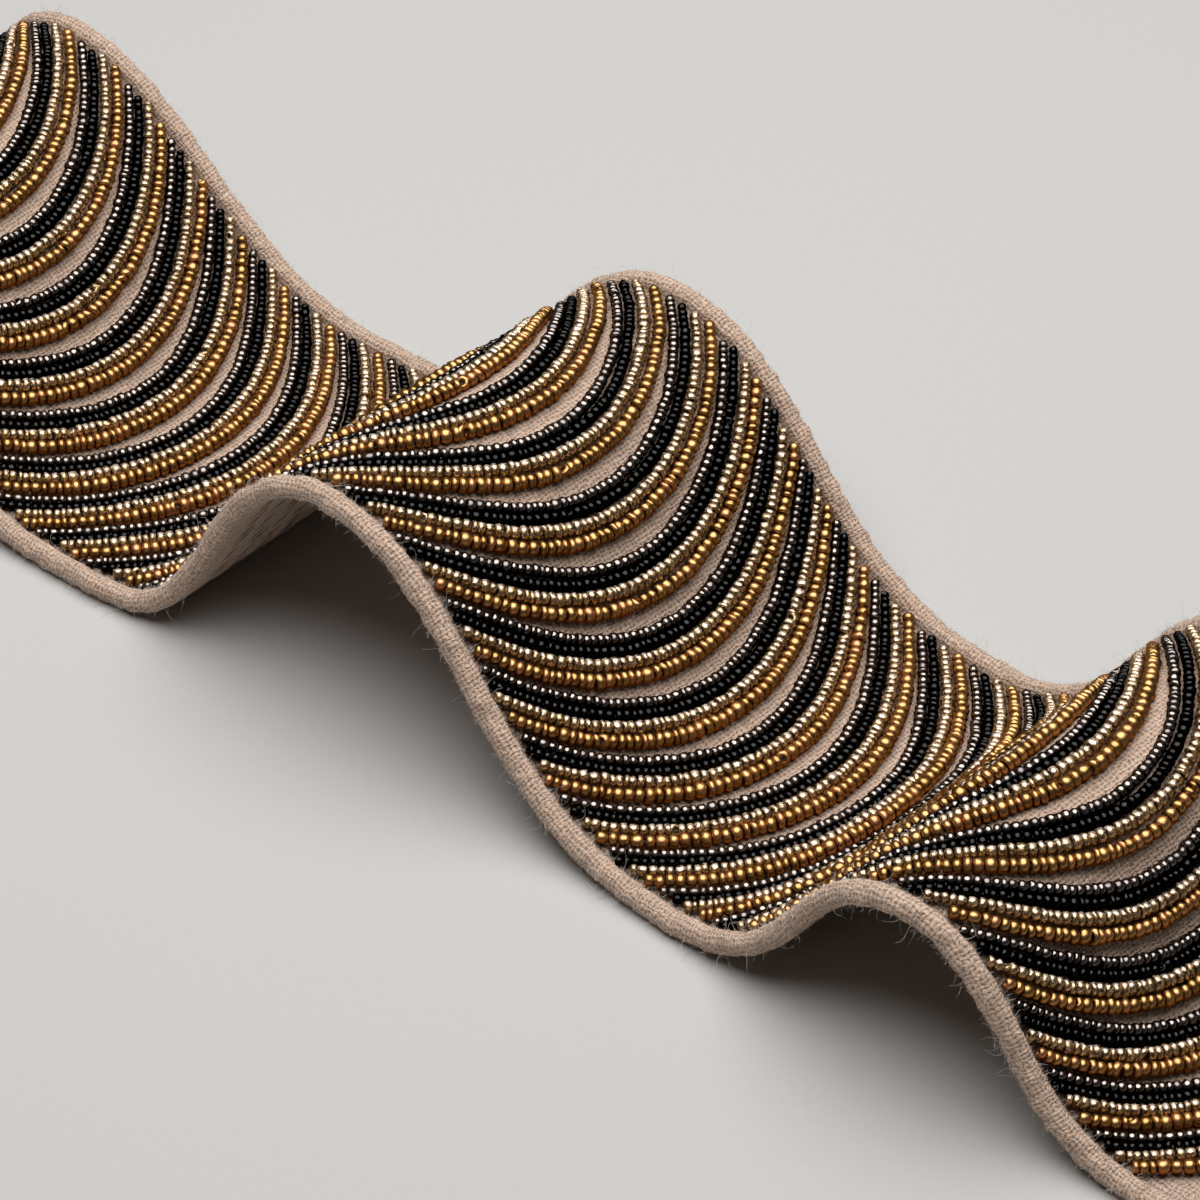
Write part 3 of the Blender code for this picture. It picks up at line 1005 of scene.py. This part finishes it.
class TAPE_OT_fibres(bpy.types.Operator):
    """Raise loose fibres and short fuzz along both hems and at the cut ends."""

    bl_idname = "beaded_tape.fibres"
    bl_label = "Loose Fibres"

    def execute(self, context):
        cloth = context.scene.tape_cloth
        rng = np.random.default_rng(FIBRE_SEED)
        blocks = []
        for side in (-1.0, 1.0):
            for kind in FUZZ:
                blocks.append(self._fuzz(rng, side, getattr(cloth, kind.count), kind))
        for end in (0.0, 1.0):
            blocks.append(self._fray(rng, end, cloth.cut_yarns))
        places, quads, ends = join_tubes(blocks)
        tones = [np.repeat(rng.random(len(paths)), 3 * paths.shape[1] - 2) for paths, *rest in blocks]
        piece = build_mesh("hem_fibres", places, quads, fibre_material(), ends, tone=np.concatenate(tones))
        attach(piece, "root")
        return {"FINISHED"}

    @staticmethod
    def _fuzz(rng, side, count, kind):
        """Curling fibres of one kind out of one hem, as a group of pointed tubes."""
        along = rng.uniform(0.0, COURSE.length, count)
        turn = np.radians(rng.uniform(*HAIRY_SIDES, count))
        out = np.stack([np.zeros(count), side * np.cos(turn), np.sin(turn)], -1)
        heading = unit(out + 0.8 * unit(rng.normal(size=(count, 3))))
        side_a = unit(np.cross(heading, rng.normal(size=(count, 3))))[:, None]
        side_b = np.cross(heading[:, None], side_a)
        length = kind.shortest + (kind.longest - kind.shortest) * rng.random(count) ** 2.2
        share = np.linspace(0.0, 1.0, kind.points)[None, :, None]
        start = rng.uniform(0.0, TURN, (count, 1, 1))
        angle = start + TURN * rng.uniform(0.3, 1.1, (count, 1, 1)) * share
        width = kind.curl * rng.uniform(0.3, 1.0, (count, 1, 1))
        coil = side_a * (np.cos(angle) - np.cos(start)) + side_b * (np.sin(angle) - np.sin(start))
        out = out * HEM_RADIUS * ROOT_DEPTH
        root = np.stack([along, side * HEM_ACROSS + out[:, 1], HEM_ABOVE + out[:, 2]], -1)
        local = root[:, None] + (heading[:, None] * share + coil * width) * length[:, None, None]
        paths = COURSE.place(np.clip(local[..., 0], 0.0, COURSE.length), local[..., 1], local[..., 2])
        return lifted(paths, FIBRE_LIFT), kind.radius * (1.0 - 0.7 * share[..., 0]), True

    @staticmethod
    def _fray(rng, end, count):
        """Short yarns that stand out of a cut end, 0 or 1, as a group of pointed tubes."""
        across = rng.uniform(-0.5, 0.5, count) * TAPE_WIDTH
        in_hem = np.abs(across) > 0.5 * TAPE_WIDTH - 0.8 * HEM_DIAMETER
        reach = np.where(in_hem, HEM_DIAMETER, CLOTH_THICKNESS)
        above = rng.uniform(0.1, 0.9, count) * reach - HALF_CLOTH
        root = COURSE.place(end * COURSE.length, across, above)
        heading = np.stack([np.full(count, 2.0 * end - 1.0), *rng.normal(0.0, 0.3, (2, count))], -1)
        length = CUT_YARN_LENGTH + CUT_YARN_SPREAD * rng.random(count) ** 2
        share = np.linspace(0.0, 1.0, 3)[None, :, None]
        bend = rng.normal(0.0, 0.3, (count, 1, 3)) * share**2
        paths = root[:, None] + (unit(heading)[:, None] * share + bend) * length[:, None, None]
        return lifted(paths, YARN_LIFT), CUT_YARN_RADIUS * (1.0 - 0.5 * share[..., 0]), True


class TAPE_OT_declare(bpy.types.Operator):
    """An empty step, which does nothing."""

    bl_idname = "beaded_tape.declare"
    bl_label = "Declare Cloth"

    def execute(self, context):
        return {"FINISHED"}


class TAPE_OT_stage(bpy.types.Operator):
    """Lay the pale floor, hang the softbox and set up the camera."""

    bl_idname = "beaded_tape.stage"
    bl_label = "Floor, Light and Camera"

    def execute(self, context):
        stage = context.scene.tape_stage
        self._floor(stage)
        self._light(stage)
        world = context.scene.world or bpy.data.worlds.new("studio")
        context.scene.world = world
        world.use_nodes = True
        background = world.node_tree.nodes["Background"]
        background.inputs["Color"].default_value = (1.0, 0.98, 0.96, 1.0)
        background.inputs["Strength"].default_value = stage.room_light
        context.scene.view_settings.view_transform = "Standard"
        self._camera(context, stage)
        return {"FINISHED"}

    @staticmethod
    def _floor(stage):
        half, low = FLOOR_HALF, -FLOOR_DEPTH
        paint = Paint("pale floor", Roughness=0.85)
        place = paint.node("ShaderNodeTexCoord", output="Object")
        grain = paint.noise(place, 900.0, 2.0)
        soft = tinted(stage.floor, 0.96, 0.96, 0.96)
        material = paint.set(Base_Color=paint.blend(grain, soft, tinted(stage.floor)))
        corners = [(-half, -half, low), (half, -half, low), (half, half, low), (-half, half, low)]
        build_mesh("pale_floor", corners, [(0, 1, 2, 3)], material)

    @staticmethod
    def _light(stage):
        lamp = bpy.data.lights.new("overhead softbox", "AREA")
        lamp.shape = "DISK"
        lamp.size = stage.lamp_size
        lamp.energy = stage.lamp_power
        thing = bpy.data.objects.new(lamp.name, lamp)
        thing.location = LAMP_PLACE
        thing.rotation_euler = (-Vector(LAMP_PLACE)).to_track_quat("-Z", "Y").to_euler()
        bpy.context.scene.collection.objects.link(thing)

    @staticmethod
    def _camera(context, stage):
        turn, lift = stage.azimuth, stage.elevation
        level = Vector((-math.sin(turn), math.cos(turn), 0.0))
        forward = level * math.cos(lift) - Vector((0.0, 0.0, 1.0)) * math.sin(lift)
        right = Vector((math.cos(turn), math.sin(turn), 0.0))
        top = right.cross(forward)
        tilted_right = right * math.cos(stage.roll) + top * math.sin(stage.roll)
        tilted_top = top * math.cos(stage.roll) - right * math.sin(stage.roll)
        lens = bpy.data.cameras.new("camera")
        lens.sensor_width = 36.0
        lens.lens = stage.lens
        lens.clip_start = 0.05
        camera = bpy.data.objects.new(lens.name, lens)
        axes = Matrix((tilted_right, tilted_top, -forward)).transposed()
        place = Vector(CAMERA_AIM) - forward * stage.distance
        camera.matrix_world = Matrix.Translation(place) @ axes.to_4x4()
        context.scene.collection.objects.link(camera)
        context.scene.camera = camera


class TAPE_PT_panel(bpy.types.Panel):
    """Lists the tape's pieces and settings."""

    bl_label = "Beaded Tape"
    bl_idname = "TAPE_PT_panel"
    bl_space_type = "VIEW_3D"
    bl_region_type = "UI"
    bl_category = "Beaded Tape"

    def draw(self, context):
        for name, group in SETTINGS.items():
            column = self.layout.column(align=True)
            for key in group.__annotations__:
                column.prop(getattr(context.scene, name), key)
        for operator in OPERATORS:
            self.layout.operator(operator.bl_idname)


SETTINGS = {"tape_cloth": ClothSettings, "tape_beads": BeadSettings, "tape_stage": StageSettings}
OPERATORS = (TAPE_OT_linen, TAPE_OT_beads, TAPE_OT_thread, TAPE_OT_fibres, TAPE_OT_declare, TAPE_OT_stage)
CLASSES = (*SETTINGS.values(), *OPERATORS, TAPE_PT_panel)


def register():
    for part in CLASSES:
        bpy.utils.register_class(part)
    for name, group in SETTINGS.items():
        setattr(bpy.types.Scene, name, bpy.props.PointerProperty(type=group))


def unregister():
    for name in SETTINGS:
        delattr(bpy.types.Scene, name)
    for part in reversed(CLASSES):
        bpy.utils.unregister_class(part)


def main():
    register()
    bpy.ops.beaded_tape.linen()
    for kind in range(len(STRANDS)):
        bpy.ops.beaded_tape.beads(kind=kind)
    bpy.ops.beaded_tape.thread()
    bpy.ops.beaded_tape.fibres()
    bpy.ops.beaded_tape.declare()
    bpy.ops.beaded_tape.stage()


if __name__ == "__main__":
    main()
